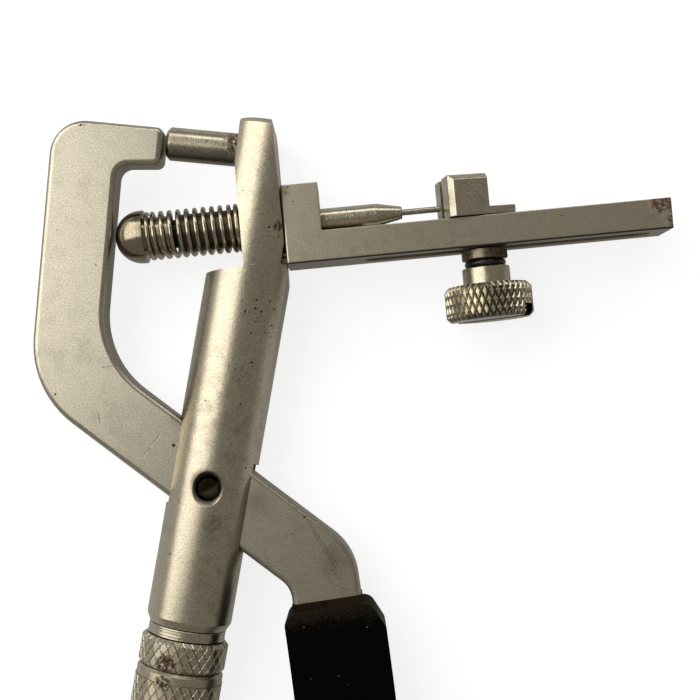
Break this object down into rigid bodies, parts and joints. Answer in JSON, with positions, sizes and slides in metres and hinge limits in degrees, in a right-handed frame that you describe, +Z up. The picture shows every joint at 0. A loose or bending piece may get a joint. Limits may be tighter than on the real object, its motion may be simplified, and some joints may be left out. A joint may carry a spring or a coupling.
{
  "type": "strap pin pliers",
  "caption": "Hand pliers that press pins in and out of straps: C-jaw lever, sprung plunger with needle, and a slotted rail with a sliding stop.",
  "frame": {"origin": "centre of the box around the tool, on the surface that it lies on", "axes": "+Y along the barrel towards the post, +X from the barrel towards the rail, +Z up, square to the lever's flat faces"},
  "size_m": [0.088, 0.1568, 0.0124],
  "materials": {
    "satin_barrel": "satin nickel plate, faint marks along its length, small pits",
    "blackened_pivot": "dark oiled steel with a driver slot",
    "satin_anvil": "turned steel, brighter chamfer, rust at its foot",
    "satin_lever": "bead-blasted nickel plate with light scratches",
    "black_sleeve": "dipped black vinyl, dusty, slightly glossy",
    "satin_bracket": "flat ground steel, pits and rust at its end",
    "bright_bracket_dowel_upper": "ground dowel",
    "bright_bracket_dowel_lower": "ground dowel",
    "satin_bush": "oily dark steel",
    "satin_head": "turned, polished, stained",
    "bright_stem": "ground rod",
    "satin_holder": "turned, fine rings on the cone",
    "bright_needle": "drawn pin wire",
    "bright_spring": "bright spring wire with dark oil between its coils",
    "satin_stop": "milled steel, rough bright chamfers",
    "satin_collar": "turned steel with rust stains",
    "black_o_ring": "black rubber",
    "satin_thumb_screw": "turned neck, diamond-knurled head",
    "satin_lock_ring": "diamond knurl, rust patch",
    "bright_stud": "turned, fine rings",
    "satin_grip": "diamond knurl with a plain band"
  },
  "bodies": {
    "frame": {"barrel": "satin_barrel", "pivot_screw": "blackened_pivot", "anvil_post": "satin_anvil", "rail_bracket": "satin_bracket", "bracket_dowel_upper": "bright_bracket_dowel_upper", "bracket_dowel_lower": "bright_bracket_dowel_lower", "guide_bush": "satin_bush", "grip_stud": "bright_stud", "knurled_grip": "satin_grip", "return_spring": "bright_spring"},
    "lever": {"jaw_lever": "satin_lever", "handle_sleeve": "black_sleeve"},
    "plunger": {"plunger_head": "satin_head", "plunger_stem": "bright_stem", "pin_holder": "satin_holder", "needle": "bright_needle"},
    "carriage": {"clamp_collar": "satin_collar"},
    "stop": {"stop_block": "satin_stop"},
    "screw_carrier": {"o_ring": "black_o_ring"},
    "thumb_screw": {"thumb_screw": "satin_thumb_screw"},
    "lock_ring": {"lock_ring": "satin_lock_ring"}
  },
  "joints": [
    {"name": "lever_pivot", "type": "hinge", "parent": "frame", "child": "lever", "pos_m": [-0.01346, 0.02662, 0.0062], "axis": [0, 0, 1], "range_deg": [0, 12]},
    {"name": "plunger_slide", "type": "slide", "parent": "frame", "child": "plunger", "axis": [-0.9646, -0.2639, 0], "range_m": [0, 0.0074], "deforming": ["return_spring"]},
    {"name": "stop_slide", "type": "slide", "parent": "frame", "child": "carriage", "axis": [0.9646, 0.2639, 0], "range_m": [0, 0.0215]},
    {"name": "stop_swivel", "type": "hinge", "parent": "carriage", "child": "stop", "pos_m": [0.01774, 0.07066, 0.0062], "axis": [-0.2639, 0.9646, 0], "range_deg": [-20, 0]},
    {"name": "thumb_screw_travel", "type": "slide", "parent": "carriage", "child": "screw_carrier", "axis": [0.2639, -0.9646, 0], "range_m": [0, 0.001]},
    {"name": "thumb_screw_turn", "type": "hinge", "parent": "screw_carrier", "child": "thumb_screw", "pos_m": [0.01774, 0.07066, 0.0062], "axis": [0.2639, -0.9646, 0], "range_deg": [0, 720]},
    {"name": "lock_ring_turn", "type": "hinge", "parent": "frame", "child": "lock_ring", "pos_m": [-0.01346, 0.00313, 0.0062], "axis": [0, 1, 0], "range_deg": [0, 36]}
  ],
  "couplings": [
    {"joint": "plunger_slide", "follows": "lever_pivot", "m_per_rad": 0.035},
    {"joint": "thumb_screw_turn", "follows": "thumb_screw_travel", "rad_per_m": 12566}
  ]
}
